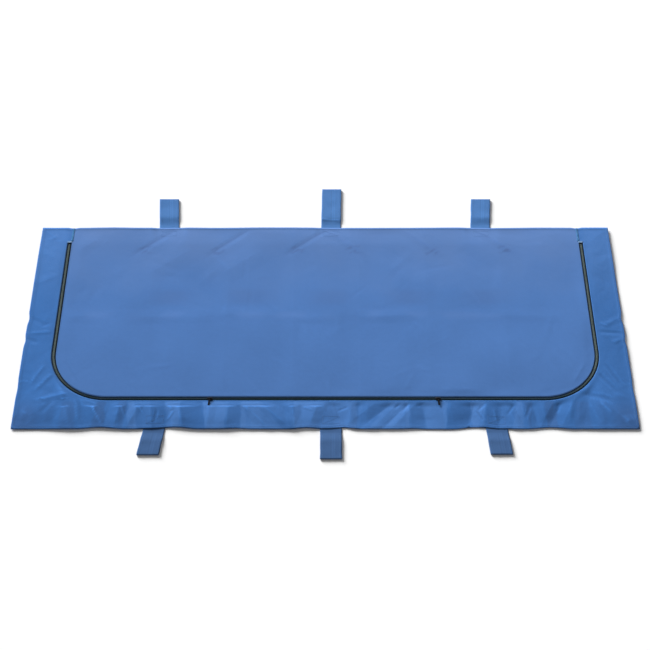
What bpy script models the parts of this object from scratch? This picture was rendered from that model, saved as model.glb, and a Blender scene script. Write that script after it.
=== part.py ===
"""A flat zippered transport pouch with six strap loops, lying closed on the floor.

The origin is at the centre of the pouch's underside. +X runs along its length, +Y to its back edge
and +Z up. All sizes are in metres.
"""

import math

import bmesh
import bpy
from mathutils import Vector

# Overall sizes
BAG_LENGTH = 2.134
BAG_WIDTH = 0.914
SHEET = 0.0007
AIR_GAP = 0.0083
GAP = 0.0003

# Sewn rim, where the top sheets come down onto the bottom panel
RIM_WIDTH = 0.015
RIM_SLOPE = 0.020

# Zip path: a U that is open to the back, as distances in from the pouch's edges
ZIP_FROM_SIDE = 0.111
ZIP_FROM_FRONT = 0.118
ZIP_FROM_BACK = 0.0875
ZIP_CORNER_RADIUS = 0.203
CORNER_STEPS = 12

# Zip section, as distances from the zip's centre line
TAPE_THICKNESS = 0.0006
TAPE_INNER = 0.0010
TAPE_OUTER = 0.0200
PANEL_EDGE = 0.0080
ROW_INNER = 0.00015
ROW_WIDTH = 0.00285
ROW_HEIGHT = 0.0022
ROW_SPREAD = 0.0010

# Fold line of the lid
FOLD_GAP = 0.0006
FOLD_RISE = 0.0003

# Zip ends and the seams behind them
STOP_WIDTH = 0.0070
STOP_DEPTH = 0.0030
ROW_END_GAP = 0.0040
PATCH_WIDTH = 0.0170
PATCH_DEPTH = 0.0080
PATCH_THICKNESS = 0.0005
STEP_RUN = 0.0020
WELT_WIDTH = 0.0080
WELT_THICKNESS = 0.0006

# Sliders
SLIDER_LEFT_X = -0.397
SLIDER_RIGHT_X = 0.388
SLIDER_LENGTH = 0.0200
SLIDER_NOSE_WIDTH = 0.0120
SLIDER_TAIL_WIDTH = 0.0090
SLIDER_PLATE = 0.0010
SLIDER_FLANGE = 0.0010
POST_LENGTH = 0.0020
POST_WIDTH = 0.0014
POST_FROM_NOSE = 0.0030

# Bridge over each slider, and the pull that swings on it
BRIDGE_LENGTH = 0.0120
BRIDGE_BAR = 0.0014
EYE_CLEARANCE = 0.0003
EYE_WALL = 0.0007
EYE_SLIT = math.radians(16)
EYE_STEPS = 16
PULL_LENGTH = 0.0270
PULL_ROOT_WIDTH = 0.0050
PULL_TIP_WIDTH = 0.0068
PULL_THICKNESS = 0.0009
PULL_DROP = 0.0034
PULL_LEAN = 0.10

# Strap loops: name, side of the pouch (+1 back, -1 front), root centre, reach, sideways lean
STRAP_WIDTH = 0.074
STRAP_PLY = 0.0010
STRAP_HOLE = 0.0050
STRAP_HOLE_START = 0.012
STRAP_SPREAD = 0.022
STRAP_END_STEPS = 8
HINGE_OUT = 0.0040
FLOOR_GAP = 0.0003
TAIL_LENGTH = 0.066
TONGUE_THICKNESS = 0.0005
TONGUE_TAPER = 0.0010
TONGUE_CLEARANCE = 0.0006
COVER_MARGIN = 0.002
COVER_SLOPE = 0.006
STRAPS = (
    ("back_left", 1, -0.589, 0.145, -0.066),
    ("back_middle", 1, 0.022, 0.197, 0.018),
    ("back_right", 1, 0.586, 0.145, 0.079),
    ("front_left", -1, -0.5805, 0.107, -0.140),
    ("front_middle", -1, 0.0195, 0.123, 0.000),
    ("front_right", -1, 0.5825, 0.105, 0.090),
)

# Levels and lines that follow from the sizes above
HALF_LENGTH = BAG_LENGTH / 2
HALF_WIDTH = BAG_WIDTH / 2
RIM_Z = SHEET + GAP
TAPE_Z = SHEET + AIR_GAP
TAPE_TOP = TAPE_Z + TAPE_THICKNESS
TOP_Z = TAPE_TOP + GAP
ROW_TOP = TOP_Z + ROW_HEIGHT
ZIP_X = HALF_LENGTH - ZIP_FROM_SIDE
ZIP_FRONT_Y = ZIP_FROM_FRONT - HALF_WIDTH
FOLD_Y = HALF_WIDTH - ZIP_FROM_BACK
FOLD_Z = ROW_TOP + FOLD_RISE
CORNER_X = ZIP_X - ZIP_CORNER_RADIUS
CORNER_Y = ZIP_FRONT_Y + ZIP_CORNER_RADIUS
LID_EDGE_X = ZIP_X - PANEL_EDGE
ROW_END_Y = FOLD_Y - ROW_END_GAP
STOP_Y = FOLD_Y + FOLD_GAP
PATCH_Y = STOP_Y + STOP_DEPTH + GAP
STEP_Y = PATCH_Y + PATCH_DEPTH + GAP
COVER_Z = RIM_Z + 2 * STRAP_PLY + GAP
COVER_INSET = RIM_WIDTH + RIM_SLOPE * (COVER_Z - RIM_Z) / (TOP_Z - RIM_Z)
INSETS = (0.0, RIM_WIDTH, COVER_INSET, RIM_WIDTH + RIM_SLOPE)
HINGE_Z = RIM_Z + STRAP_PLY
SLIDER_UNDER_Z = TAPE_Z - GAP - SLIDER_PLATE
SLIDER_OVER_Z = ROW_TOP + GAP
EYE_INNER = BRIDGE_BAR / math.sqrt(2) + EYE_CLEARANCE
EYE_OUTER = EYE_INNER + EYE_WALL
BRIDGE_Z = SLIDER_OVER_Z + SLIDER_PLATE + EYE_OUTER + GAP

LID = 1
BORDER = -1


# Materials


def material(name, colour, roughness, metallic=0.0):
    """A Principled material with one plain colour."""
    made = bpy.data.materials.new(name)
    made.use_nodes = True
    shader = made.node_tree.nodes["Principled BSDF"]
    shader.inputs["Base Color"].default_value = (*colour, 1.0)
    shader.inputs["Roughness"].default_value = roughness
    shader.inputs["Metallic"].default_value = metallic
    made.diffuse_color = (*colour, 1.0)
    return made


# Solids


def add_object(name, mesh_data, look, place=(0.0, 0.0, 0.0), parent=None):
    """Turns a bmesh into a named object with outward faces."""
    bmesh.ops.recalc_face_normals(mesh_data, faces=mesh_data.faces)
    mesh = bpy.data.meshes.new(name)
    mesh_data.to_mesh(mesh)
    mesh_data.free()
    mesh.materials.append(look)
    made = bpy.data.objects.new(name, mesh)
    made.location = place
    made.parent = parent
    bpy.context.scene.collection.objects.link(made)
    return made


def add_axis(name, place, parent=None):
    """An empty on a joint's axis, which carries the pieces that move with it."""
    made = bpy.data.objects.new(name, None)
    made.location = place
    made.parent = parent
    made.empty_display_size = 0.02
    bpy.context.scene.collection.objects.link(made)
    return made


def extrude_faces(mesh_data, offset):
    """Extrudes every face of the mesh by one vector into a closed solid."""
    result = bmesh.ops.extrude_face_region(mesh_data, geom=mesh_data.faces[:])
    moved = [item for item in result["geom"] if isinstance(item, bmesh.types.BMVert)]
    bmesh.ops.translate(mesh_data, verts=moved, vec=Vector(offset))


def prism(outline, base_z, thickness):
    """A plate with the given plan outline."""
    mesh_data = bmesh.new()
    mesh_data.faces.new([mesh_data.verts.new((x, y, base_z)) for x, y in outline])
    extrude_faces(mesh_data, (0.0, 0.0, thickness))
    return mesh_data


def box(x_range, y_range, z_range):
    """A plain block between two corners."""
    near, far = y_range
    outline = [(x_range[0], near), (x_range[1], near), (x_range[1], far), (x_range[0], far)]
    return prism(outline, z_range[0], z_range[1] - z_range[0])


def grid_solid(rows, thickness):
    """A sheet over rows of points, with each cell split along its steeper diagonal."""
    mesh_data = bmesh.new()
    lower = [[mesh_data.verts.new(point) for point in row] for row in rows]
    for row, next_row in zip(lower, lower[1:]):
        for a, b, c, d in zip(row, next_row, next_row[1:], row[1:]):
            if abs(a.co.z - c.co.z) >= abs(b.co.z - d.co.z):
                mesh_data.faces.new((a, b, c))
                mesh_data.faces.new((a, c, d))
            else:
                mesh_data.faces.new((a, b, d))
                mesh_data.faces.new((b, c, d))
    extrude_faces(mesh_data, (0.0, 0.0, thickness))
    return mesh_data


def swept(stations, profile):
    """A closed section of (offset, height) points, carried along the zip's stations."""
    mesh_data = bmesh.new()
    rings = [
        [mesh_data.verts.new((x + nx * offset, y + ny * offset, z)) for offset, z in profile]
        for x, y, nx, ny in stations
    ]
    for ring, next_ring in zip(rings, rings[1:]):
        for index in range(len(ring)):
            other = (index + 1) % len(ring)
            mesh_data.faces.new((ring[index], ring[other], next_ring[other], next_ring[index]))
    mesh_data.faces.new(rings[0])
    mesh_data.faces.new(rings[-1])
    return mesh_data


def joined(name, pieces, look, place, parent):
    """Joins overlapping blocks into one solid with exact unions."""
    blocks = [add_object(f"{name}_block_{index}", piece, look) for index, piece in enumerate(pieces)]
    body = blocks[0]
    for block in blocks[1:]:
        union = body.modifiers.new("Union", "BOOLEAN")
        union.operation = "UNION"
        union.solver = "EXACT"
        union.object = block
    bpy.context.view_layer.update()
    evaluated = body.evaluated_get(bpy.context.evaluated_depsgraph_get())
    mesh_data = bmesh.new()
    mesh_data.from_mesh(evaluated.to_mesh())
    evaluated.to_mesh_clear()
    for block in blocks:
        bpy.data.objects.remove(block)
    return add_object(name, mesh_data, look, place, parent)


# Zip path


def side_run(side, end_y):
    """Stations from a back end of the zip to the end of its corner, on side -1 or +1 in X."""
    stations = [(side * ZIP_X, end_y, -side, 0.0)]
    for step in range(CORNER_STEPS + 1):
        angle = math.pi / 2 * step / CORNER_STEPS
        across = math.cos(angle)
        along = math.sin(angle)
        stations.append(
            (
                side * (CORNER_X + ZIP_CORNER_RADIUS * across),
                CORNER_Y - ZIP_CORNER_RADIUS * along,
                -side * across,
                along,
            )
        )
    return stations


def front_run(inset):
    """Stations along the straight front of the zip, drawn in a little at both ends."""
    reach = CORNER_X - inset
    return [(-reach, ZIP_FRONT_Y, 0.0, 1.0), (reach, ZIP_FRONT_Y, 0.0, 1.0)]


def open_front_run(side):
    """The front run of one tooth row, which spreads between the two sliders."""
    reach = CORNER_X - GAP
    ramp = (
        (-reach, 0.0),
        (SLIDER_LEFT_X - 0.1 * SLIDER_LENGTH, 0.0),
        (SLIDER_LEFT_X + 0.25 * SLIDER_LENGTH, ROW_SPREAD),
        (SLIDER_RIGHT_X - 0.25 * SLIDER_LENGTH, ROW_SPREAD),
        (SLIDER_RIGHT_X + 0.1 * SLIDER_LENGTH, 0.0),
        (reach, 0.0),
    )
    return [(x, ZIP_FRONT_Y + side * spread, 0.0, 1.0) for x, spread in ramp]


def tape_profile(side):
    """The section of one zip tape."""
    inner = side * TAPE_INNER
    outer = side * TAPE_OUTER
    return [(inner, TAPE_Z), (outer, TAPE_Z), (outer, TAPE_TOP), (inner, TAPE_TOP)]


def row_profile(side):
    """The section of one coil row, with its upper corners taken off."""
    inner = ROW_INNER
    outer = ROW_INNER + ROW_WIDTH
    shoulder = TOP_Z + 0.6 * ROW_HEIGHT
    corner = 0.25 * ROW_WIDTH
    half = [
        (inner, TOP_Z),
        (outer, TOP_Z),
        (outer, shoulder),
        (outer - corner, ROW_TOP),
        (inner + corner, ROW_TOP),
        (inner, shoulder),
    ]
    return [(side * offset, z) for offset, z in half]


# Sheets


def cover_height(x, y):
    """The height that the strap ends under a sewn rim lift it to."""
    height = RIM_Z
    for _, edge, root_x, _, _ in STRAPS:
        beyond = abs(x - root_x) - STRAP_WIDTH / 2 - COVER_MARGIN
        if edge * y > 0 and beyond < COVER_SLOPE:
            share = min(1.0, 1.0 - beyond / COVER_SLOPE)
            height = max(height, RIM_Z + (COVER_Z - RIM_Z) * share)
    return height


def top_height(x, y):
    """The underside of the top sheets: low on the rim, then up a slope to the flat top."""
    inset = min(HALF_LENGTH - abs(x), HALF_WIDTH - abs(y))
    share = min(1.0, max(0.0, (inset - RIM_WIDTH) / RIM_SLOPE))
    height = RIM_Z + (TOP_Z - RIM_Z) * share
    return max(height, cover_height(x, y))


def cover_stations(edge, reach):
    """X stations from -reach to reach that follow the lifted places over one edge's strap ends."""
    stations = {-reach, reach}
    for _, strap_edge, root_x, _, _ in STRAPS:
        if strap_edge == edge:
            for out in (STRAP_WIDTH / 2 + COVER_MARGIN, STRAP_WIDTH / 2 + COVER_MARGIN + COVER_SLOPE):
                stations |= {root_x - out, root_x + out}
    return sorted(stations)


def lifted(points):
    """Gives plan points the height of the top sheets' underside."""
    return [(x, y, top_height(x, y)) for x, y in points]


def border_side_rows(side):
    """Rows across a side of the border, from the back edge to the start of the zip's corner."""
    seam_x = LID_EDGE_X + GAP
    zip_x = ZIP_X + PANEL_EDGE
    rows = [(HALF_WIDTH - inset, seam_x) for inset in INSETS]
    rows += [(STEP_Y + STEP_RUN, seam_x), (STEP_Y, zip_x), (CORNER_Y, zip_x)]
    return [
        lifted([(side * (HALF_LENGTH - inset), y) for inset in INSETS] + [(side * inner_x, y)])
        for y, inner_x in rows
    ]


def border_corner_rows(side):
    """Rows fanned from the zip's corner to the square corner of the pouch."""
    rows = []
    for step in range(1, CORNER_STEPS):
        angle = math.pi / 2 * step / CORNER_STEPS
        toward_side = min(1.0, math.tan(math.pi / 2 - angle))
        toward_front = min(1.0, math.tan(angle))
        row = []
        for inset in INSETS:
            x = CORNER_X + (HALF_LENGTH - inset - CORNER_X) * toward_side
            y = CORNER_Y - (HALF_WIDTH - inset + CORNER_Y) * toward_front
            row.append((side * x, y))
        radius = ZIP_CORNER_RADIUS + PANEL_EDGE
        inner_x = CORNER_X + radius * math.cos(angle)
        inner_y = CORNER_Y - radius * math.sin(angle)
        rows.append(lifted(row + [(side * inner_x, inner_y)]))
    return rows


def border_front_rows():
    """Rows across the front of the border, left to right."""
    inner_y = ZIP_FRONT_Y - PANEL_EDGE
    return [
        lifted([(x, inset - HALF_WIDTH) for inset in INSETS] + [(x, inner_y)])
        for x in cover_stations(-1, CORNER_X)
    ]


def add_border(look):
    """The top sheet around the zip, open to the back."""
    left = border_side_rows(-1) + border_corner_rows(-1)
    right = border_side_rows(1) + border_corner_rows(1)
    rows = left + border_front_rows() + right[::-1]
    return add_object("top_border", grid_solid(rows, SHEET), look)


def add_back_strip(look):
    """The part of the lid's sheet behind the fold, sewn down at the back edge."""
    front_y = FOLD_Y + FOLD_GAP / 2
    rows = [
        lifted([(x, HALF_WIDTH - inset) for inset in INSETS] + [(x, front_y)])
        for x in cover_stations(1, LID_EDGE_X)
    ]
    return add_object("lid_back_strip", grid_solid(rows, SHEET), look)


def add_bottom(look):
    """The flat bottom sheet."""
    sheet = box((-HALF_LENGTH, HALF_LENGTH), (-HALF_WIDTH, HALF_WIDTH), (0.0, SHEET))
    return add_object("bottom_panel", sheet, look)


def add_lid(hinge, look):
    """The lid inside the zip's U, which swings up about the fold behind it."""
    offset = PANEL_EDGE
    left = [(x + nx * offset, y + ny * offset) for x, y, nx, ny in side_run(-1, FOLD_Y - FOLD_GAP / 2)]
    right = [(-x, y) for x, y in left]
    outline = [(x, y - FOLD_Y) for x, y in left + right[::-1]]
    return add_object("lid_panel", prism(outline, TOP_Z - FOLD_Z, SHEET), look, parent=hinge)


def add_seam_welt(name, side, look):
    """The raised seam from a zip end to the back edge."""
    rows = []
    for y in (STEP_Y, *(HALF_WIDTH - inset for inset in reversed(INSETS))):
        ends = (LID_EDGE_X - WELT_WIDTH / 2, LID_EDGE_X + WELT_WIDTH / 2)
        rows.append([(side * x, y, top_height(side * x, y) + SHEET + GAP) for x in ends])
    return add_object(name, grid_solid(rows, WELT_THICKNESS), look)


# Zip


def shifted(stations):
    """Stations measured from the fold line, for pieces carried by the lid's hinge."""
    return [(x, y - FOLD_Y, nx, ny) for x, y, nx, ny in stations]


def lowered(profile):
    """A section measured from the fold line's height."""
    return [(offset, z - FOLD_Z) for offset, z in profile]


def add_tapes(hinge, look):
    """One tape around the border, and the lid's tape in three lengths."""
    whole = side_run(-1, STEP_Y - GAP) + side_run(1, STEP_Y - GAP)[::-1]
    add_object("zip_tape_border", swept(whole, tape_profile(BORDER)), look)
    for name, side in (("left", -1), ("right", 1)):
        run = shifted(side_run(side, ROW_END_Y))
        add_object(f"zip_tape_lid_{name}", swept(run, lowered(tape_profile(LID))), look, parent=hinge)
    run = shifted(front_run(GAP))
    add_object("zip_tape_lid_front", swept(run, lowered(tape_profile(LID))), look, parent=hinge)


def add_rows(hinge, look):
    """The two coil rows, each in three lengths."""
    for name, side in (("left", -1), ("right", 1)):
        run = side_run(side, ROW_END_Y)
        add_object(f"zip_coil_border_{name}", swept(run, row_profile(BORDER)), look)
        solid = swept(shifted(run), lowered(row_profile(LID)))
        add_object(f"zip_coil_lid_{name}", solid, look, parent=hinge)
    add_object("zip_coil_border_front", swept(open_front_run(BORDER), row_profile(BORDER)), look)
    solid = swept(shifted(open_front_run(LID)), lowered(row_profile(LID)))
    add_object("zip_coil_lid_front", solid, look, parent=hinge)


def add_zip_end(name, side, stop_look, patch_look):
    """The block that ends the zip, and the patch sewn over the tape behind it."""
    centre = side * ZIP_X
    x_range = (centre - STOP_WIDTH / 2, centre + STOP_WIDTH / 2)
    stop = box(x_range, (STOP_Y, STOP_Y + STOP_DEPTH), (TOP_Z, ROW_TOP))
    add_object(f"zip_stop_{name}", stop, stop_look)
    x_range = (centre - PATCH_WIDTH / 2, centre + PATCH_WIDTH / 2)
    patch_z = TOP_Z + SHEET + GAP
    patch = box(x_range, (PATCH_Y, PATCH_Y + PATCH_DEPTH), (patch_z, patch_z + PATCH_THICKNESS))
    add_object(f"zip_end_patch_{name}", patch, patch_look)


# Sliders


def plate_outline(nose):
    """A slider plate: wide at its nose, narrow at its tail, with the corners taken off."""
    half = SLIDER_LENGTH / 2
    wide = SLIDER_NOSE_WIDTH / 2
    narrow = SLIDER_TAIL_WIDTH / 2
    cut = 0.15 * SLIDER_LENGTH
    edge = [(half - cut, wide), (half, wide - cut), (half, cut - wide), (half - cut, -wide)]
    edge += [(cut - half, -narrow), (-half, cut - narrow), (-half, narrow - cut), (cut - half, narrow)]
    return [(nose * x, y) for x, y in edge]


def flange_outline(nose, side):
    """A slider's side wall, which follows the slanted edge of its top plate."""
    half = SLIDER_LENGTH / 2
    cut = 0.15 * SLIDER_LENGTH
    outer = [(half - cut, SLIDER_NOSE_WIDTH / 2), (cut - half, SLIDER_TAIL_WIDTH / 2)]
    inner = [(x, y - SLIDER_FLANGE) for x, y in reversed(outer)]
    return [(nose * x, side * y) for x, y in outer + inner]


def bridge_arch():
    """The bar over the slider on its two legs, as one arch along X."""
    half = BRIDGE_LENGTH / 2
    low = SLIDER_OVER_Z + SLIDER_PLATE / 2
    top = BRIDGE_Z + BRIDGE_BAR / 2
    under = BRIDGE_Z - BRIDGE_BAR / 2
    leg = half - BRIDGE_BAR
    chamfer = BRIDGE_BAR / 2
    outline = [(-half, low), (-leg, low), (-leg, under), (leg, under), (leg, low), (half, low)]
    outline += [(half, top - chamfer), (half - chamfer, top), (chamfer - half, top), (-half, top - chamfer)]
    mesh_data = bmesh.new()
    mesh_data.faces.new([mesh_data.verts.new((x, -BRIDGE_BAR / 2, z)) for x, z in outline])
    extrude_faces(mesh_data, (0.0, BRIDGE_BAR, 0.0))
    return mesh_data


def arc(radius, start, end):
    """Points along an arc about the eye's centre."""
    steps = [start + (end - start) * step / EYE_STEPS for step in range(EYE_STEPS + 1)]
    return [(radius * math.cos(angle), radius * math.sin(angle)) for angle in steps]


def pull_outline():
    """The pull from its side: an eye with a narrow slit, and a tab out from its centre."""
    half = PULL_THICKNESS / 2
    tab_inner = math.asin(half / EYE_INNER)
    tab_outer = math.asin(half / EYE_OUTER)
    free_end = tab_inner + EYE_SLIT
    outline = arc(EYE_INNER, free_end, 2 * math.pi + tab_inner)
    outline += [(PULL_LENGTH - half, half), (PULL_LENGTH, 0.0), (PULL_LENGTH - half, -half)]
    return outline + arc(EYE_OUTER, 2 * math.pi - tab_outer, free_end)


def pull_solid(lean):
    """The pull about its bridge, with its tab sloping down to the front and widening."""
    slope = math.atan2(PULL_DROP, PULL_LENGTH)
    mesh_data = bmesh.new()
    sides = []
    for side in (-1, 1):
        verts = []
        for out, up in pull_outline():
            along = max(0.0, out)
            width = PULL_ROOT_WIDTH + (PULL_TIP_WIDTH - PULL_ROOT_WIDTH) * along / PULL_LENGTH
            x = lean * along + side * width / 2
            y = -(out * math.cos(slope) + up * math.sin(slope))
            z = up * math.cos(slope) - out * math.sin(slope)
            verts.append(mesh_data.verts.new((x, y, z)))
        mesh_data.faces.new(verts)
        sides.append(verts)
    near, far = sides
    for index in range(len(near)):
        other = (index + 1) % len(near)
        mesh_data.faces.new((near[index], near[other], far[other], far[index]))
    return mesh_data


# Strap loops


def loop_outlines(reach):
    """Matched outer and inner outlines of a strap loop, as (distance from hinge, height) points."""
    floor = FLOOR_GAP - HINGE_Z
    radius = STRAP_HOLE / 2
    end = reach - STRAP_PLY - radius
    middle = floor + STRAP_PLY + radius
    outer = [(0.0, -STRAP_PLY), (STRAP_HOLE_START, -STRAP_PLY)]
    inner = [(STRAP_HOLE_START, 0.0)] * 2
    spread = STRAP_HOLE_START + STRAP_SPREAD
    outer.append((spread, floor))
    inner.append((spread, floor + STRAP_PLY))
    for step in range(STRAP_END_STEPS + 1):
        angle = math.pi * step / STRAP_END_STEPS - math.pi / 2
        across = math.cos(angle)
        up = math.sin(angle)
        outer.append((end + (radius + STRAP_PLY) * across, middle + (radius + STRAP_PLY) * up))
        inner.append((end + radius * across, middle + radius * up))
    top = middle + radius
    outer.append((spread, top + STRAP_PLY))
    inner.append((spread, top))
    outer += [(STRAP_HOLE_START, STRAP_PLY), (0.0, STRAP_PLY)]
    inner += [(STRAP_HOLE_START, 0.0)] * 2
    return outer, inner


def tail_solid(edge, root_x):
    """A strap's end between the sheets, thinned outside the rim so that the loop can fold up."""
    inner = HALF_WIDTH - TAIL_LENGTH
    end = HALF_WIDTH + HINGE_OUT - STRAP_PLY - TONGUE_CLEARANCE
    neck = HALF_WIDTH + TONGUE_TAPER
    half = [(inner, STRAP_PLY), (HALF_WIDTH, STRAP_PLY)]
    half += [(neck, TONGUE_THICKNESS / 2), (end, TONGUE_THICKNESS / 2)]
    outline = [(y, HINGE_Z - up) for y, up in half] + [(y, HINGE_Z + up) for y, up in reversed(half)]
    mesh_data = bmesh.new()
    left_x = root_x - STRAP_WIDTH / 2
    mesh_data.faces.new([mesh_data.verts.new((left_x, edge * y, z)) for y, z in outline])
    extrude_faces(mesh_data, (STRAP_WIDTH, 0.0, 0.0))
    return mesh_data


def add_strap(name, edge, root_x, reach, lean, look):
    """One strap loop on its hinge line, and its tail caught between the sheets."""
    hinge = add_axis(f"axis_handle_{name}", (root_x, edge * (HALF_WIDTH + HINGE_OUT), HINGE_Z))
    outer, inner = loop_outlines(reach - HINGE_OUT)
    mesh_data = bmesh.new()

    def corner(out, z):
        return mesh_data.verts.new((lean * max(0.0, out) - STRAP_WIDTH / 2, edge * out, z))

    tip = corner(STRAP_HOLE_START, 0.0)
    ring_out = [corner(*point) for point in outer]
    ring_in = [tip, tip] + [corner(*point) for point in inner[2:-2]] + [tip, tip]
    nose = []
    for step in range(1, STRAP_END_STEPS):
        angle = math.pi / 2 + math.pi * step / STRAP_END_STEPS
        nose.append(corner(STRAP_PLY * math.cos(angle), STRAP_PLY * math.sin(angle)))
    mesh_data.faces.new([ring_out[0], ring_out[1], tip, ring_out[-2], ring_out[-1], *nose])
    for index in range(1, len(ring_out) - 2):
        face = [ring_out[index], ring_out[index + 1], ring_in[index + 1], ring_in[index]]
        mesh_data.faces.new(list(dict.fromkeys(face)))
    extrude_faces(mesh_data, (STRAP_WIDTH, 0.0, 0.0))
    add_object(f"handle_{name}", mesh_data, look, parent=hinge)

    add_object(f"handle_tail_{name}", tail_solid(edge, root_x), look)


def add_slider(name, x, nose, metal_look):
    """A slider on the front run with its post, side walls and bridge, and its pull."""
    axis = add_axis(f"axis_slider_{name}", (x, ZIP_FRONT_Y, 0.0))
    under = prism(plate_outline(nose), SLIDER_UNDER_Z, SLIDER_PLATE)
    over = prism(plate_outline(nose), SLIDER_OVER_Z, SLIDER_PLATE)
    post_x = nose * (SLIDER_LENGTH / 2 - POST_FROM_NOSE)
    post = box(
        (post_x - POST_LENGTH / 2, post_x + POST_LENGTH / 2),
        (-POST_WIDTH / 2, POST_WIDTH / 2),
        (SLIDER_UNDER_Z + SLIDER_PLATE / 2, SLIDER_OVER_Z + SLIDER_PLATE / 2),
    )
    wall_height = SLIDER_OVER_Z + SLIDER_PLATE / 2 - TOP_Z
    walls = [prism(flange_outline(nose, side), TOP_Z, wall_height) for side in (LID, BORDER)]
    pieces = [over, under, post, *walls, bridge_arch()]
    joined(f"slider_{name}", pieces, metal_look, (0.0, 0.0, 0.0), axis)
    pull_axis = add_axis(f"axis_pull_{name}", (0.0, 0.0, BRIDGE_Z), axis)
    pull = pull_solid(-nose * PULL_LEAN)
    add_object(f"slider_pull_{name}", pull, metal_look, parent=pull_axis)


def build():
    """Makes every piece of the pouch."""
    for old in list(bpy.data.objects):
        bpy.data.objects.remove(old)
    sheet = material("blue coated sheet", (0.058, 0.155, 0.40), 0.45)
    lid_sheet = material("blue lid sheet", (0.085, 0.195, 0.46), 0.55)
    tape = material("black woven tape", (0.012, 0.013, 0.015), 0.85)
    coil = material("grey green coil", (0.16, 0.20, 0.19), 0.5)
    black_metal = material("black painted metal", (0.014, 0.015, 0.017), 0.35)
    patch = material("pale patch", (0.55, 0.60, 0.62), 0.7)
    seam = material("teal seam band", (0.04, 0.16, 0.26), 0.6)

    lid_hinge = add_axis("axis_lid", (0.0, FOLD_Y, FOLD_Z))
    add_bottom(sheet)
    add_border(sheet)
    add_back_strip(lid_sheet)
    add_lid(lid_hinge, lid_sheet)
    add_tapes(lid_hinge, tape)
    add_rows(lid_hinge, coil)
    for name, side in (("left", -1), ("right", 1)):
        add_zip_end(name, side, black_metal, patch)
        add_seam_welt(f"seam_welt_{name}", side, seam)
    add_slider("left", SLIDER_LEFT_X, 1, black_metal)
    add_slider("right", SLIDER_RIGHT_X, -1, black_metal)
    for strap in STRAPS:
        add_strap(*strap, sheet)


build()
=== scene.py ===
"""The finished look of a blue coated-sheet transport pouch: sheets, zip, sliders and strap loops."""

import math

import bmesh
import bpy
import numpy as np
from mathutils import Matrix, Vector


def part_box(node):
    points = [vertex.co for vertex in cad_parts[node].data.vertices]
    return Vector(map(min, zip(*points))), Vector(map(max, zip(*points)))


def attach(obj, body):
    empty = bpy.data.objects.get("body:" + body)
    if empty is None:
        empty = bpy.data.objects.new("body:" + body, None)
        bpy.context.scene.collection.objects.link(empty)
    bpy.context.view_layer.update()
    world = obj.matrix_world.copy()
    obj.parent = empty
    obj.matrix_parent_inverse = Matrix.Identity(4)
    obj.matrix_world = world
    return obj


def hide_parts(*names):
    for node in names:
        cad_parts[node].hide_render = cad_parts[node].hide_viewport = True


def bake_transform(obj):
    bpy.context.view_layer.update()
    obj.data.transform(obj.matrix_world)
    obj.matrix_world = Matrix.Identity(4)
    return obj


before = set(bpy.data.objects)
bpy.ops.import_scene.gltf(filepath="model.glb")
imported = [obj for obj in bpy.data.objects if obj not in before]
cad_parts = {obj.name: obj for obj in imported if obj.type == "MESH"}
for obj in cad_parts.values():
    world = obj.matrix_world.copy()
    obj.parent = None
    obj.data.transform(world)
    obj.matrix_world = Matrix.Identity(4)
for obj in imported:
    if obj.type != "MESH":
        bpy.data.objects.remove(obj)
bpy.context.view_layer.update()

# Places that the frame gives

HALF_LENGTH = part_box("bottom_panel")[1].x
HALF_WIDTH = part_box("bottom_panel")[1].y
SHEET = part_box("bottom_panel")[1].z
FLAT_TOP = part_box("lid_panel")[1].z
TAPE_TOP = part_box("zip_tape_lid_front")[1].z
ZIP_X = (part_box("zip_stop_right")[0].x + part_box("zip_stop_right")[1].x) / 2
ZIP_FRONT = (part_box("slider_left")[0].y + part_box("slider_left")[1].y) / 2
ZIP_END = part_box("zip_coil_border_right")[1].y
CORNER_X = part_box("zip_tape_lid_front")[1].x
CORNER_RADIUS = ZIP_X - CORNER_X
CORNER_Y = ZIP_FRONT + CORNER_RADIUS
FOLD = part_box("lid_panel")[1].y
LID_EDGE_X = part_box("lid_panel")[1].x
PANEL_EDGE = ZIP_X - LID_EDGE_X
PULL_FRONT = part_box("slider_pull_left")[0].y
PULL_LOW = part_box("slider_pull_left")[0].z
SLIDERS = [(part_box(f"slider_{side}")[0].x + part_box(f"slider_{side}")[1].x) / 2 for side in ("left", "right")]

# Sizes of the soft details

TAPE_WIDTH = 0.019
TAPE_INNER = 0.001
COIL_PITCH = 0.0023
COIL_HEIGHT = 0.0022
ROW_SPREAD = 0.0010
HEM = 0.012
HEM_LIFT = 0.0066
HEM_WAVE = 0.0026
RIM_REACH = 0.095
ROOT_LIFT = 0.0050
FRONT_EDGE = 0.0066
CURL_REACH = 0.045
PLY = 0.0010
TAPE_CLOTH = 0.0006
BAND_CLOTH = 0.0005
PATCH_CLOTH = 0.0004
BAND_RISE = 0.0007
SEAM_ROW = 0.0024
ZIP_ROW = 0.0025
HEM_ROW = 0.009
COIL_LOOP = (0.0033, 0.0018)
COIL_REACH = 0.00150
# One stitch: length, pitch, thread radius
STITCH = (0.0030, 0.0045, 0.00035)
# How strongly the listed ridges and creases are pressed in
RIDGE_SHARE = 1.1
CREASE_SHARE = 0.45
LID_SHARE = 0.5

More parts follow.
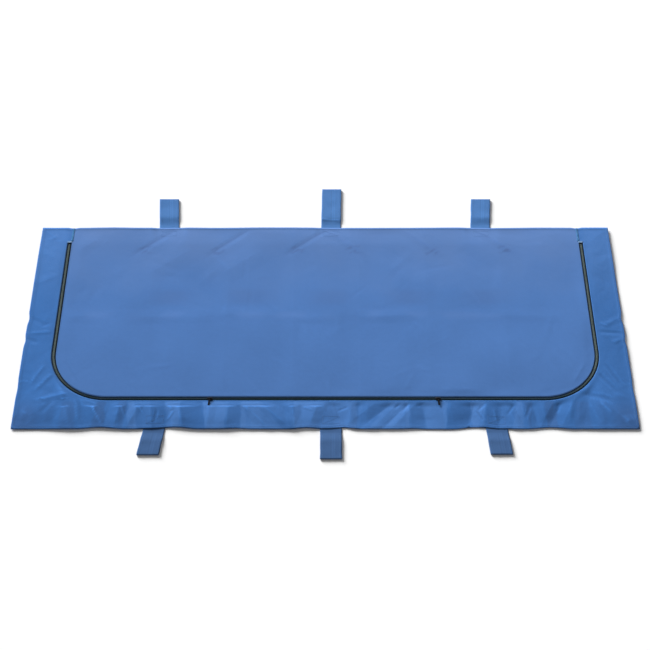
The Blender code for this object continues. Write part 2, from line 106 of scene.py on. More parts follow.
# Strap loops: name, edge (+1 back, -1 front), root centre, reach past the edge, sideways lean
STRAP_WIDTH = 0.074
STRAPS = (
    ("back_left", 1, -0.589, 0.145, -0.066),
    ("back_middle", 1, 0.022, 0.197, 0.018),
    ("back_right", 1, 0.586, 0.145, 0.079),
    ("front_left", -1, -0.5805, 0.107, -0.140),
    ("front_middle", -1, 0.0195, 0.123, 0.000),
    ("front_right", -1, 0.5825, 0.105, 0.090),
)
HINGE_OUT = 0.004
STRAP_TAIL = 0.068
STRAP_FOLD = 0.003
STRAP_FLOOR_GAP = 0.0003
BOX_NEAR = 0.018
BOX_FAR = 0.048
BOX_MARGIN = 0.008
HINGE_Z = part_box("handle_tail_back_left")[0].z + PLY

# Creases pressed into the border's left half, and mirrored as hollows on the right.
# Front ridges: crest x at mid strip, width to its left, width to its right, lean, height
FRONT_RIDGES = (
    (-0.888, 0.070, 0.055, -0.25, 0.0026),
    (-0.786, 0.040, 0.030, -0.50, 0.0034),
    (-0.712, 0.034, 0.026, 0.15, 0.0026),
    (-0.655, 0.026, 0.022, 0.40, 0.0018),
    (-0.598, 0.060, 0.050, -0.12, 0.0028),
    (-0.499, 0.043, 0.080, -0.20, 0.0044),
    (-0.400, 0.030, 0.024, 0.10, 0.0014),
    (-0.335, 0.075, 0.046, 0.05, 0.0034),
    (-0.245, 0.028, 0.036, -0.90, 0.0024),
    (-0.180, 0.060, 0.060, -1.15, 0.0034),
    (-0.110, 0.030, 0.026, -0.10, 0.0024),
    (-0.040, 0.045, 0.040, 0.30, 0.0026),
)
# Short creases: start x and y, end x and y, half width, height
SIDE_CREASES = (
    (-1.021, -0.268, -0.985, -0.195, 0.011, 0.0022),
    (-1.002, -0.296, -0.950, -0.228, 0.012, 0.0026),
    (-0.985, -0.340, -0.885, -0.312, 0.014, 0.0030),
    (-0.975, -0.392, -0.945, -0.352, 0.012, -0.0018),
    (-1.064, -0.262, -1.034, -0.260, 0.007, 0.0016),
    (-1.060, -0.410, -1.020, -0.430, 0.030, -0.0026),
    (-1.066, -0.052, -0.978, -0.046, 0.012, 0.0026),
    (-1.066, -0.075, -1.020, -0.092, 0.014, -0.0030),
    (-1.062, 0.020, -1.000, -0.014, 0.014, -0.0022),
    (-1.010, -0.020, -0.985, -0.006, 0.008, -0.0014),
    (-1.055, 0.180, -0.985, 0.215, 0.024, 0.0014),
    (-1.060, 0.330, -1.000, 0.300, 0.022, 0.0014),
    (-0.860, -0.345, -0.845, -0.425, 0.014, 0.0022),
    (-0.905, -0.345, -0.935, -0.440, 0.030, -0.0022),
    (-0.800, -0.352, -0.790, -0.392, 0.008, 0.0026),
    (-0.700, -0.368, -0.684, -0.412, 0.008, 0.0024),
    (-0.645, -0.362, -0.622, -0.398, 0.007, 0.0022),
    (-0.577, -0.388, -0.582, -0.432, 0.007, -0.0024),
    (-0.548, -0.352, -0.524, -0.384, 0.008, 0.0030),
    (-0.520, -0.392, -0.536, -0.424, 0.007, 0.0026),
    (-0.340, -0.354, -0.316, -0.366, 0.007, 0.0024),
    (-0.288, -0.352, -0.262, -0.388, 0.008, 0.0028),
    (-0.262, -0.352, -0.238, -0.374, 0.007, 0.0026),
    (-0.075, -0.372, -0.045, -0.386, 0.007, 0.0022),
)
# Soft fold marks across the lid, on the left half and mirrored
LID_CREASES = (
    (-0.577, 0.432, -0.701, 0.328, 0.018, -0.0018),
    (-0.298, 0.436, -0.428, 0.318, 0.018, -0.0018),
    (-0.004, 0.436, -0.135, 0.328, 0.018, -0.0018),
    (-0.520, 0.330, -0.640, 0.235, 0.060, 0.0022),
    (-0.250, 0.330, -0.370, 0.235, 0.060, 0.0022),
    (-0.850, 0.400, -0.930, 0.330, 0.040, 0.0018),
    (-0.905, -0.190, -0.860, -0.270, 0.010, -0.0010),
)
# Painted shade (-) and painted light (+) on facets of the front strip, between folds: upper left and right x,
# lower left and right x, how much
PAINTED_FACETS = (
    (-0.786, -0.752, -0.795, -0.752, -0.9),
    (-0.712, -0.680, -0.700, -0.672, -0.8),
    (-0.672, -0.655, -0.690, -0.640, 0.7),
    (-0.598, -0.552, -0.590, -0.540, -0.7),
    (-0.545, -0.500, -0.520, -0.485, 0.8),
    (-0.496, -0.420, -0.500, -0.410, -1.0),
    (-0.420, -0.345, -0.410, -0.340, 0.25),
    (-0.330, -0.290, -0.345, -0.287, -0.6),
    (-0.286, -0.278, -0.285, -0.276, 1.0),
    (-0.276, -0.225, -0.250, -0.215, 0.35),
    (-0.222, -0.128, -0.150, -0.118, -0.55),
    (-0.124, -0.106, -0.122, -0.108, -0.5),
    (-0.106, -0.020, -0.106, -0.030, 0.2),
    (-0.900, -0.862, -0.905, -0.850, -0.6),
    (-0.955, -0.930, -0.960, -0.925, -0.3),
)
# Front edge drawn in where the strip puckers: x, half width, depth
HEM_TUCKS = ((-0.765, 0.085, 0.006), (-0.510, 0.080, 0.007), (-0.065, 0.055, 0.005), (-0.300, 0.060, 0.002))
SIDE_TUCKS = ((0.015, 0.035, 0.004), (-0.085, 0.030, 0.003), (-0.290, 0.050, 0.002))


# Curves and waves shared by every sheet


def ease(share):
    """A smooth step from 0 to 1."""
    share = np.clip(share, 0.0, 1.0)
    return share * share * (3 - 2 * share)


def tent(distance, width):
    """A pointed rise: 1 on its line and 0 at its width."""
    return np.clip(1 - np.abs(distance) / width, 0.0, 1.0)


def waves(x, y, seed, length, count=9):
    """Gentle unevenness between about -1 and 1, with bumps about as long as length."""
    random = np.random.default_rng(seed)
    total = np.zeros_like(x)
    for _ in range(count):
        heading = random.uniform(0, 2 * math.pi)
        size = length * random.uniform(0.7, 1.8)
        phase = random.uniform(0, 2 * math.pi)
        total += np.sin((x * math.cos(heading) + y * math.sin(heading)) * 2 * math.pi / size + phase)
    return total / math.sqrt(count) * 0.8


def crinkles(x, y, seed, spacing, width):
    """A scatter of short pointed creases at random headings, each up to 1 high."""
    random = np.random.default_rng(seed)
    total = np.zeros_like(x)
    for _ in range(int(2 * HALF_LENGTH * 2 * HALF_WIDTH / spacing**2)):
        centre_x = random.uniform(-HALF_LENGTH, HALF_LENGTH)
        centre_y = random.uniform(-HALF_WIDTH, HALF_WIDTH)
        heading = random.uniform(0, math.pi)
        half = spacing * random.uniform(0.35, 0.9)
        thin = width * random.uniform(0.5, 1.4)
        size = random.uniform(-1, 1)
        near = (np.abs(x - centre_x) < half) & (np.abs(y - centre_y) < half)
        dx = x[near] - centre_x
        dy = y[near] - centre_y
        along = dx * math.cos(heading) + dy * math.sin(heading)
        across = dy * math.cos(heading) - dx * math.sin(heading)
        total[near] += size * tent(across, thin) * ease(tent(along, half))
    return total


def crease(x, y, start_x, start_y, end_x, end_y, width, height):
    """One pointed crease between two places, fading out past its ends."""
    long = math.hypot(end_x - start_x, end_y - start_y)
    across_x = (end_y - start_y) / long
    across_y = (start_x - end_x) / long
    middle_x = (start_x + end_x) / 2
    middle_y = (start_y + end_y) / 2
    along = (x - middle_x) * -across_y + (y - middle_y) * across_x
    across = (x - middle_x) * across_x + (y - middle_y) * across_y
    return height * tent(across, width) * ease(1.6 * tent(along, 0.75 * long))


def both_halves(x, y, creases):
    """Creases on the left half, and the same places on the right half as hollows."""
    total = np.zeros_like(x)
    for start_x, start_y, end_x, end_y, width, height in creases:
        total += crease(x, y, start_x, start_y, end_x, end_y, width, height)
        total -= crease(x, y, -start_x, start_y, -end_x, end_y, width, height)
    return total


def inset_of(x, y):
    """The distance in from the nearest edge of the pouch."""
    return np.minimum(HALF_LENGTH - np.abs(x), HALF_WIDTH - np.abs(y))


def zip_distance(x, y):
    """The signed distance from the zip's centre line: positive on the lid's side."""
    away_x = np.abs(x)
    round_part = CORNER_RADIUS - np.hypot(np.maximum(away_x - CORNER_X, 0), np.minimum(y - CORNER_Y, 0))
    return np.where(y > CORNER_Y, ZIP_X - away_x, np.where(away_x < CORNER_X, y - ZIP_FRONT, round_part))


def over_straps(x, y, fade):
    """1 above the strap ends in the seam, and 0 away from them."""
    mask = np.zeros_like(x)
    for _, edge, root_x, _, _ in STRAPS:
        beside = np.abs(x - root_x) - STRAP_WIDTH / 2 - 0.003
        inward = HALF_WIDTH - edge * y - 0.070
        mask = np.maximum(mask, (1 - ease(beside / fade)) * (1 - ease(inward / fade)))
    return mask


def hem_height(x, y):
    """The height of the sewn edge above the floor, which lifts and dips along the pouch."""
    wave = 0.5 + 0.5 * waves(x, y, 11, 0.30)
    lift = HEM_LIFT - 0.0010 + HEM_WAVE * np.clip(wave, 0, 1) - 0.0010 * ease((-0.40 - y) / 0.05)
    return lift + (ROOT_LIFT - lift) * over_straps(x, y, 0.030)


def border_creases(x, y):
    """Puckers and creases of the border, dying out at the zip."""
    total = np.zeros_like(x)
    middle = (ZIP_FRONT - HALF_WIDTH) / 2
    strip = ease((0.02 - HALF_WIDTH / 2 - y) / 0.05) * ease((0.96 - np.abs(x)) / 0.05)
    for crest, left, right, lean, height in FRONT_RIDGES:
        for half in (1, -1):
            shift = x - half * crest - half * lean * (y - middle)
            rising = np.where(shift * half < 0, left, right)
            total += half * RIDGE_SHARE * height * tent(shift, rising) * strip
    total += CREASE_SHARE * both_halves(x, y, SIDE_CREASES)
    total += 0.0005 * crinkles(x, y, 5, 0.080, 0.014)
    total += 0.0006 * waves(x, y, 3, 0.16)
    return total * ease((np.abs(zip_distance(x, y)) - 0.009) / 0.022)


def painted_facet_shading(x, y):
    """Painted light (+) and painted shade (-) on the border's facets, the same on both halves: paler toward the
    middle of the front strip and up the sides, darker at the front corners.
    """
    away = -np.abs(x)
    share = np.clip((ZIP_FRONT - 0.010 - y) / (HALF_WIDTH + ZIP_FRONT - 0.014), 0, 1)
    wander = 0.003 * waves(x, y, 71, 0.05)
    total = 0.75 * (1 - ease((np.abs(x) - 0.35) / 0.5)) * np.ones_like(x)
    for upper_left, upper_right, lower_left, lower_right, size in PAINTED_FACETS:
        left = upper_left + (lower_left - upper_left) * share
        right = upper_right + (lower_right - upper_right) * share
        inside = np.minimum(away + wander - left, right - away - wander)
        total += 0.8 * size * ease((inside + 0.003) / 0.006)
    total *= ease((ZIP_FRONT - 0.004 - y) / 0.012)
    # Painted shade at the front corners and painted light up the sides.
    corner = ease((np.abs(x) - 0.93) / 0.10) * ease((-0.30 - y) / 0.12)
    upper = ease((np.abs(x) - 0.94) / 0.05) * ease((y - 0.02) / 0.30)
    return total - 0.9 * corner + 0.8 * upper


def lid_tone(x, y):
    """How pale (+) or dull (-) the lid and back strip are: a paler band along the middle fold, a row of dull
    patches, and painted shadows along the diagonal creases by the back edge and at their crumpled ends.
    """
    total = 0.25 * (1 - ease(np.abs(y - 0.029) / 0.03)) * ease(waves(x, y, 73, 0.16) + 0.3)
    for centre in (-0.56, -0.28, 0.02, 0.30, 0.58):
        total -= 0.30 * ease(tent(x - centre, 0.13)) * ease(tent(y - 0.112, 0.05) * 1.5)
    for start_x, start_y, end_x, end_y, width, _ in LID_CREASES[:3]:
        # Painted shadow along each diagonal crease, and painted shade at its crumpled end.
        total -= crease(-np.abs(x), y, start_x, start_y, end_x, end_y, 0.4 * width, 0.55)
        painted_crumple_shade = ease(tent(-np.abs(x) - end_x - 0.030, 0.042)) * ease(1.5 * tent(y - end_y - 0.012, 0.026))
        total -= 0.9 * painted_crumple_shade * ease(1.6 * waves(x, y, 77, 0.022) + 0.1)
    return total


def lid_creases(x, y):
    """Faint fold marks and unevenness of the lid."""
    total = LID_SHARE * both_halves(x, y, LID_CREASES)
    wander = 0.004 * waves(x, 0 * y, 23, 0.30)
    total += 0.0009 * tent(y - 0.029 - wander, 0.034) * (0.5 + 0.5 * waves(x, y, 22, 0.20))
    for line in (-0.64, -0.36, -0.12, 0.12, 0.36, 0.64):
        total += 0.0006 * tent(x - line, 0.045) * (0.6 + 0.4 * waves(x, y, 21, 0.30))
    total += 0.0012 * waves(x, y, 8, 0.26)
    total += 0.0004 * crinkles(x, y, 9, 0.110, 0.018)
    return total * ease((np.abs(zip_distance(x, y)) - 0.009) / 0.040)


def seam_fade(x, y):
    """0 at the seams behind the zip ends, so that the sheets on both sides meet there."""
    return np.where(y > ZIP_END, ease((np.abs(np.abs(x) - LID_EDGE_X) - 0.002) / 0.02), 1.0)


def top_height(x, y):
    """The upper face of the top sheets."""
    inset = inset_of(x, y)
    hem = hem_height(x, y)
    height = hem + (FLAT_TOP - hem) * ease((inset + 0.01) / (RIM_REACH + 0.01))
    wrinkles = np.where(zip_distance(x, y) < 0, border_creases(x, y), lid_creases(x, y))
    near_edge = 0.45 + 0.55 * ease(inset / 0.040)
    height += wrinkles * near_edge * seam_fade(x, y)
    height += 0.0004 * (1 - ease((inset - HEM + 0.0005) / 0.0015))
    height -= 0.0010 * np.clip(1 - inset / 0.004, 0, 1) ** 2
    under_pulls = PULL_LOW - 0.0004 + 0.5 * np.maximum(PULL_FRONT - 0.001 - y, 0)
    height = np.where(y < ZIP_FRONT, np.minimum(height, under_pulls), height)
    lowest = 0.0022 + 0.0021 * over_straps(x, y, 0.020)
    return np.maximum(height, lowest)


def bottom_height(x, y):
    """The upper face of the bottom sheet, which curls up to the hem between the straps."""
    inset = inset_of(x, y)
    curl = (1 - ease(inset / CURL_REACH)) * (1 - over_straps(x, y, 0.030))
    rise = np.maximum(hem_height(x, y) - 0.0016 - SHEET, 0)
    return SHEET + rise * curl


def tucked(x, y):
    """Plan places after the edges are drawn in by their tucks."""
    inset_front = HALF_WIDTH + y
    inset_side = HALF_LENGTH - np.abs(x)
    draw = np.zeros_like(x)
    for centre, half, depth in HEM_TUCKS:
        draw += depth * (ease(tent(x - centre, half)) + ease(tent(x + centre, half)))
    moved_y = y + draw * (1 - ease(inset_front / 0.10))
    back = 0.0022 + 0.0022 * (0.5 + 0.5 * waves(x, 0 * y, 31, 0.28))
    back = back + 0.0040 * ease(tent(np.abs(x) - LID_EDGE_X, 0.024))
    moved_y -= back * (1 - ease((HALF_WIDTH - y) / 0.06))
    moved_y -= 0.0022 * (1 - ease(inset_front / 0.05)) * (1 - over_straps(x, y, 0.030))
    draw = np.zeros_like(x)
    for centre, half, depth in SIDE_TUCKS:
        draw += depth * ease(tent(y - centre, half))
    moved_x = x - np.sign(x) * draw * (1 - ease(inset_side / 0.08))
    return moved_x, moved_y


# Meshes


def finish_mesh(name, mesh, look):
    """An object at the origin with its place in its mesh."""
    made = bpy.data.objects.new(name, mesh)
    bpy.context.scene.collection.objects.link(made)
    mesh.materials.append(look)
    mesh.polygons.foreach_set("use_smooth", [True] * len(mesh.polygons))
    return made


def select_only(piece):
    """Makes one piece the active and only selected object."""
    bpy.ops.object.select_all(action="DESELECT")
    piece.select_set(True)
    bpy.context.view_layer.objects.active = piece


def apply_modifiers(piece):
    """Applies every modifier on a piece."""
    select_only(piece)
    for modifier in list(piece.modifiers):
        bpy.ops.object.modifier_apply(modifier=modifier.name)


def curvature(grid):
    """How sharply each grid point stands above (+) or below (-) its neighbours."""
    height = grid[..., 2]
    sharp = np.zeros_like(height)
    sharp[1:-1, 1:-1] = height[1:-1, 1:-1] - (
        height[:-2, 1:-1] + height[2:, 1:-1] + height[1:-1, :-2] + height[1:-1, 2:]
    ) / 4
    return sharp


def sheet_piece(name, grid, cloth, wall, look, face_up=True, crease_scale=1500.0, tone=None):
    """A sheet over a grid of points, with its flat cloth places, crease marks and tone kept."""
    rows, columns = grid.shape[:2]
    index = np.arange(rows * columns).reshape(rows, columns)
    quads = np.stack([index[:-1, :-1], index[1:, :-1], index[1:, 1:], index[:-1, 1:]], -1)
    normal_z = np.cross(grid[1, 0] - grid[0, 0], grid[0, 1] - grid[0, 0])[2]
    if (normal_z > 0) != face_up:
        quads = quads[..., ::-1]
    mesh = bpy.data.meshes.new(name)
    mesh.from_pydata(grid.reshape(-1, 3).tolist(), [], quads.reshape(-1, 4).tolist())
    made = finish_mesh(name, mesh, look)
    places = mesh.attributes.new("cloth", "FLOAT_VECTOR", "POINT")
    places.data.foreach_set("vector", cloth.reshape(-1, 3).astype(np.float32).ravel())
    marks = mesh.attributes.new("crease", "FLOAT", "POINT")
    marks.data.foreach_set("value", (curvature(grid) * crease_scale).astype(np.float32).ravel())
    if tone is not None:
        tones = mesh.attributes.new("tone", "FLOAT", "POINT")
        tones.data.foreach_set("value", tone.astype(np.float32).ravel())
    solid = made.modifiers.new("Wall", "SOLIDIFY")
    solid.thickness = wall
    solid.offset = -1.0
    apply_modifiers(made)
    return made


def lifted(x, y, height):
    """A grid of points and their flat cloth places, from plan places and a height rule."""
    moved_x, moved_y = tucked(x, y)
    return np.stack([moved_x, moved_y, height(x, y)], -1), np.stack([x, y, 0 * x], -1)


def between(start, end, count):
    """Evenly spaced values from start to end."""
    return np.linspace(start, end, count)


def repeated(name, shape, frames, look):
    """One mesh with a small shape copied to each (x, y, z, heading) frame."""
    points, faces = shape
    heading = frames[:, 3][:, None]
    x = points[:, 0] * np.cos(heading) - points[:, 1] * np.sin(heading) + frames[:, 0][:, None]
    y = points[:, 0] * np.sin(heading) + points[:, 1] * np.cos(heading) + frames[:, 1][:, None]
    z = points[:, 2] + frames[:, 2][:, None]
    everything = np.stack([x, y, z], -1).reshape(-1, 3)
    all_faces = [
        tuple(corner + copy * len(points) for corner in face) for copy in range(len(frames)) for face in faces
    ]
    mesh = bpy.data.meshes.new(name)
    mesh.from_pydata(everything.tolist(), [], all_faces)
    return finish_mesh(name, mesh, look)


def take_shape(piece):
    """The points and faces of a small modelled shape, which is then removed."""
    mesh = piece.data
    points = np.array([vertex.co[:] for vertex in mesh.vertices])
    faces = [tuple(face.vertices) for face in mesh.polygons]
    bpy.data.objects.remove(piece)
    return points, faces


def rounded_bar(length, thickness, height, sides):
    """A short bar along X with drawn-in ends, for threads and coil loops."""
    bpy.ops.object.select_all(action="DESELECT")
    bpy.ops.mesh.primitive_cylinder_add(
        vertices=sides, radius=0.5, depth=0.7 * length, rotation=(0.0, math.pi / 2, 0.0)
    )
    bar = bpy.context.object
    bpy.ops.object.transform_apply(location=False, rotation=True, scale=False)
    bpy.ops.object.mode_set(mode="EDIT")
    for end in (-1, 1):
        mesh = bmesh.from_edit_mesh(bar.data)
        for face in mesh.faces:
            face.select_set(face.normal.x * end > 0.9)
        bmesh.update_edit_mesh(bar.data)
        bpy.ops.mesh.extrude_region_move(TRANSFORM_OT_translate={"value": (end * 0.15 * length, 0, 0)})
        bpy.ops.transform.resize(value=(1.0, 0.45, 0.45))
    bpy.ops.mesh.select_all(action="SELECT")
    bpy.ops.transform.resize(value=(1.0, thickness, height), center_override=(0, 0, 0))
    bpy.ops.object.mode_set(mode="OBJECT")
    return take_shape(bar)


def refined(node, bevel, look, body):
    """A moulded or pressed piece over its plain solid, with its edges rounded."""
    source = bpy.data.objects[node]
    mesh = source.data.copy()
    shape = bmesh.new()
    shape.from_mesh(mesh)
    bmesh.ops.remove_doubles(shape, verts=shape.verts, dist=0.00001)
    bmesh.ops.dissolve_limit(shape, angle_limit=0.02, verts=shape.verts, edges=shape.edges)
    shape.to_mesh(mesh)
    shape.free()
    mesh.materials.clear()
    made = finish_mesh(f"{node}_finished", mesh, look)
    edge = made.modifiers.new("Edge", "BEVEL")
    edge.width = bevel
    edge.segments = 3
    edge.limit_method = "ANGLE"
    apply_modifiers(made)
    bpy.ops.object.shade_smooth_by_angle(angle=math.radians(40))
    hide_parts(node)
    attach(made, body)


# Finishes


class Reading:
    """A shader value; sums, differences and products of readings add Math nodes."""

    def __init__(self, finish, output):
        self.finish = finish
        self.output = output

    def math(self, operation, first, second):
        return self.finish.node("ShaderNodeMath", {"operation": operation}, {0: first, 1: second})

    def __add__(self, other):
        return self.math("ADD", self, other)

    def __sub__(self, other):
        return self.math("SUBTRACT", self, other)

    def __rsub__(self, other):
        return self.math("SUBTRACT", other, self)

    def __mul__(self, other):
        return self.math("MULTIPLY", self, other)

    def clamped(self):
        """The reading kept between 0 and 1."""
        return self.finish.node("ShaderNodeClamp", {}, {"Value": self})


class Finish:
    """A node material on a Principled shader."""

    def __init__(self, name, metallic=0.0, specular=0.5):
        self.material = bpy.data.materials.new(name)
        self.material.use_nodes = True
        self.tree = self.material.node_tree
        self.shader = self.tree.nodes["Principled BSDF"]
        self.shader.inputs["Metallic"].default_value = metallic
        self.shader.inputs["Specular IOR Level"].default_value = specular

    def node(self, kind, settings, inputs, output=0):
        """Any node, from its type, its settings and the values or links of its sockets."""
        made = self.tree.nodes.new(kind)
        for key, value in settings.items():
            setattr(made, key, value)
        for key, value in inputs.items():
            self.feed(made.inputs[key], value)
        return Reading(self, made.outputs[output])

    def feed(self, target, value):
        """Links a reading to a socket, or sets the socket's own value."""
        if isinstance(value, Reading):
            self.tree.links.new(value.output, target)
        else:
            target.default_value = value

    def attribute(self, name, output):
        """A stored mark of the piece."""
        return self.node("ShaderNodeAttribute", {"attribute_name": name}, {}, output)

    def place(self):
        """The place on the piece as an object point."""
        return self.node("ShaderNodeTexCoord", {}, {}, "Object")

    def noise(self, place, scale, detail=3.0, rough=0.5):
        """Cloudy unevenness between 0 and 1."""
        inputs = {"Vector": place, "Scale": scale, "Detail": detail, "Roughness": rough}
        return self.node("ShaderNodeTexNoise", {}, inputs, 0)

    def bands(self, place, direction, pitch):
        """Even bands, one for each pitch along one direction."""
        settings = {"wave_type": "BANDS", "bands_direction": direction}
        inputs = {"Vector": place, "Scale": math.pi / 10 / pitch}
        return self.node("ShaderNodeTexWave", settings, inputs, 1)

    def mixed(self, factor, first, second):
        """A colour between two colours."""
        inputs = {0: factor, 6: first, 7: second}
        return self.node("ShaderNodeMix", {"data_type": "RGBA"}, inputs, 2)

    def bump(self, height, distance, normal=None):
        """A bump from a height reading."""
        inputs = {"Height": height, "Distance": distance, "Strength": 1.0}
        if normal is not None:
            inputs["Normal"] = normal
        return self.node("ShaderNodeBump", {}, inputs)

    def set(self, socket, value):
        """Feeds one socket of the shader."""
        self.feed(self.shader.inputs[socket], value)


def rgba(colour, share=1.0):
    """A colour made lighter or darker, with full cover."""
    return tuple(min(1.0, part * share) for part in colour) + (1.0,)


def tinted(colour, shares):
    """A colour with each of its three parts scaled, with full cover."""
    return tuple(part * share for part, share in zip(colour, shares)) + (1.0,)


def coated_sheet(name, colour, roughness, crinkle, wear, fade=0.0):
    """Coated woven sheet: a fine scrim under a satin film, mottled, with paler worn crease ridges and painted
    shade in the crease hollows, painted light and shade from its tone mark, and, with fade, a painted sheen that
    pales it toward the back.
    """
    finish = Finish(name, specular=0.35)
    cloth = finish.attribute("cloth", "Vector")
    marks = finish.attribute("crease", "Fac")
    clouds = finish.noise(cloth, 5.0, 3.0)
    mottle = finish.noise(cloth, 70.0, 4.0)
    tone = clouds * 0.75 + mottle * 0.35 - 0.05
    depth = finish.node("ShaderNodeSeparateXYZ", {}, {"Vector": cloth}, 1)
    # With fade, the sheet is painted lighter toward the back: a painted sheen.
    base = finish.mixed((tone + depth * fade).clamped(), rgba(colour, 0.86), rgba(colour, 1.13))
    if fade:
        # Painted sheen: paler and greyer toward the back.
        painted_back_sheen = (depth * 2.4 + clouds - 0.75).clamped()
        base = finish.mixed(painted_back_sheen, base, tinted(colour, (1.42, 1.08, 0.95)))
    # Painted light and shade: the tone mark mixes in a duller colour below zero and a paler one above.
    painted_light_tone = finish.attribute("tone", "Fac")
    base = finish.mixed((painted_light_tone * -1.0).clamped(), base, tinted(colour, (1.04, 0.81, 0.77)))
    base = finish.mixed(painted_light_tone.clamped(), base, tinted(colour, (1.62, 1.27, 1.17)))
    worn = (marks * wear).clamped()
    pale = finish.mixed(worn, base, rgba(colour, 1.75))
    # Painted shade: the crease hollows are darkened.
    painted_hollow_shade = (marks * -0.8 * wear).clamped()
    finish.set("Base Color", finish.mixed(painted_hollow_shade, pale, rgba(colour, 0.62)))
    finish.set("Roughness", mottle * 0.14 + clouds * 0.10 + (roughness - 0.12))
    scrim = finish.bands(cloth, "X", 0.0013) + finish.bands(cloth, "Y", 0.0013)
    fine = finish.bump(scrim, 0.00003)
    wrinkle = finish.noise(cloth, 34.0, 4.0, 0.55)
    finish.set("Normal", finish.bump(wrinkle, crinkle, fine))
    return finish.material


def woven_tape(name, colour, pitch):
    """Close woven tape with ribs across it, a little dusty."""
    finish = Finish(name, specular=0.25)
    cloth = finish.attribute("cloth", "Vector")
    dust = finish.noise(cloth, 90.0, 4.0)
    ribs = finish.bands(cloth, "X", pitch) * 0.7 + finish.bands(cloth, "Y", pitch * 0.8) * 0.3
    shade = (dust * 0.6 + ribs * 0.4).clamped()
    finish.set("Base Color", finish.mixed(shade, rgba(colour, 0.6), rgba(colour, 1.6)))
    finish.set("Roughness", dust * 0.15 + 0.72)
    finish.set("Normal", finish.bump(ribs, 0.00012))
    return finish.material


def moulded(name, colour, roughness, speck, scale, front_shade_colour=None):
    """Moulded coil or spun thread with slight unevenness, and maybe painted shade: a darker colour along the
    front run.
    """
    finish = Finish(name)
    place = finish.place()
    cloud = finish.noise(place, scale, 3.0)
    base = finish.mixed(cloud, rgba(colour, 1 - speck), rgba(colour, 1 + speck))
    if front_shade_colour:
        # Painted shade: the coil is darker along its front run than along its sides.
        depth = finish.node("ShaderNodeSeparateXYZ", {}, {"Vector": place}, 1)
        front = ((CORNER_Y - 0.05 - depth) * (1 / (CORNER_RADIUS - 0.06))).clamped()
        base = finish.mixed(front, base, rgba(front_shade_colour))
    finish.set("Base Color", base)
    finish.set("Roughness", cloud * 0.2 + (roughness - 0.1))
    finish.set("Normal", finish.bump(finish.noise(place, scale * 12, 2.0), 0.00004))
    return finish.material


def painted_metal(name, colour):
    """Black enamel over pressed metal, with fine dimples and worn grey touches."""
    finish = Finish(name, metallic=0.35)
    place = finish.place()
    wear = finish.noise(place, 900.0, 4.0)
    scuff = ((wear - 0.62) * 6.0).clamped()
    finish.set("Base Color", finish.mixed(scuff, rgba(colour), (0.10, 0.105, 0.11, 1.0)))
    finish.set("Roughness", wear * 0.25 + 0.22)
    finish.set("Normal", finish.bump(finish.noise(place, 2600.0, 2.0), 0.00002))
    return finish.material


BLUE = (0.038, 0.138, 0.385)
LID_BLUE = (0.066, 0.168, 0.425)
STRAP_BLUE = (0.062, 0.180, 0.440)
# The front straps are given a darker colour and a rougher sheet than the back straps.
FRONT_STRAP_BLUE = (0.046, 0.108, 0.250)

border_finish = coated_sheet("satin blue coated sheet", BLUE, 0.48, 0.0009, 0.8)
# The lid's last value, fade, paints a sheen that pales it toward the back.
lid_finish = coated_sheet("matt blue coated sheet", LID_BLUE, 0.58, 0.0004, 0.7, 0.75)
strap_finish = coated_sheet("strap sheet", STRAP_BLUE, 0.50, 0.0006, 0.8)
front_strap_finish = coated_sheet("front strap sheet", FRONT_STRAP_BLUE, 0.60, 0.0006, 0.9)
tape_finish = woven_tape("black zip tape", (0.011, 0.020, 0.030), 0.0011)
patch_finish = woven_tape("pale end patch", (0.15, 0.26, 0.43), 0.0009)
seam_finish = woven_tape("teal seam band", (0.035, 0.135, 0.30), 0.0012)
coil_finish = moulded("grey green coil", (0.16, 0.205, 0.195), 0.45, 0.2, 60.0, (0.020, 0.046, 0.066))
thread_finish = moulded("blue thread", (0.10, 0.21, 0.44), 0.6, 0.12, 200.0)
pale_thread_finish = moulded("pale thread", (0.26, 0.40, 0.62), 0.6, 0.10, 200.0)
metal_finish = painted_metal("black enamelled metal", (0.010, 0.011, 0.013))


# Sheets


def make_bottom():
    """The bottom sheet, flat on the floor and curled up to the hem."""
    x, y = np.meshgrid(
        between(-HALF_LENGTH, HALF_LENGTH, 230), between(-HALF_WIDTH, HALF_WIDTH, 100), indexing="ij"
    )
    grid, cloth = lifted(x, y, bottom_height)
    piece = sheet_piece("bottom_sheet", grid, cloth, SHEET, border_finish)
    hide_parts("bottom_panel")
    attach(piece, "pouch")


def u_steps(side_end, spacing):
    """The steps of a U: places down its side, angles round its corner and places along its front."""
    down = between(side_end, CORNER_Y, int((side_end - CORNER_Y) / spacing))[:-1]
    turn = between(0, math.pi / 2, int(CORNER_RADIUS * math.pi / 2 / spacing))[:-1]
    return down, turn, between(-CORNER_X, CORNER_X, int(2 * CORNER_X / spacing))


def u_line(left_x, left_y, across, front):
    """A whole U from its left side and corner, its front and their mirror image."""
    x = np.concatenate([left_x, across, -left_x[::-1]])
    y = np.concatenate([left_y, 0 * across + front, left_y[::-1]])
    return x, y


def zip_line(side_end, spacing):
    """Plan points along the zip's middle, from its left back end round to its right back end."""
    down, turn, across = u_steps(side_end, spacing)
    left_x = np.concatenate([0 * down - ZIP_X, -CORNER_X - CORNER_RADIUS * np.cos(turn)])
    left_y = np.concatenate([down, CORNER_Y - CORNER_RADIUS * np.sin(turn)])
    return u_line(left_x, left_y, across, ZIP_FRONT)


def toward_lid(x, y):
    """Unit steps from the zip's middle toward the lid."""
    away = np.maximum(np.abs(x) - CORNER_X, 0) * np.sign(x)
    below = np.minimum(y - CORNER_Y, 0)
    on_side = y > CORNER_Y
    step_x = np.where(on_side, -np.sign(x), -away)
    step_y = np.where(on_side, 0, np.where(np.abs(x) < CORNER_X, 1.0, -below))
    size = np.hypot(step_x, step_y)
    return step_x / size, step_y / size


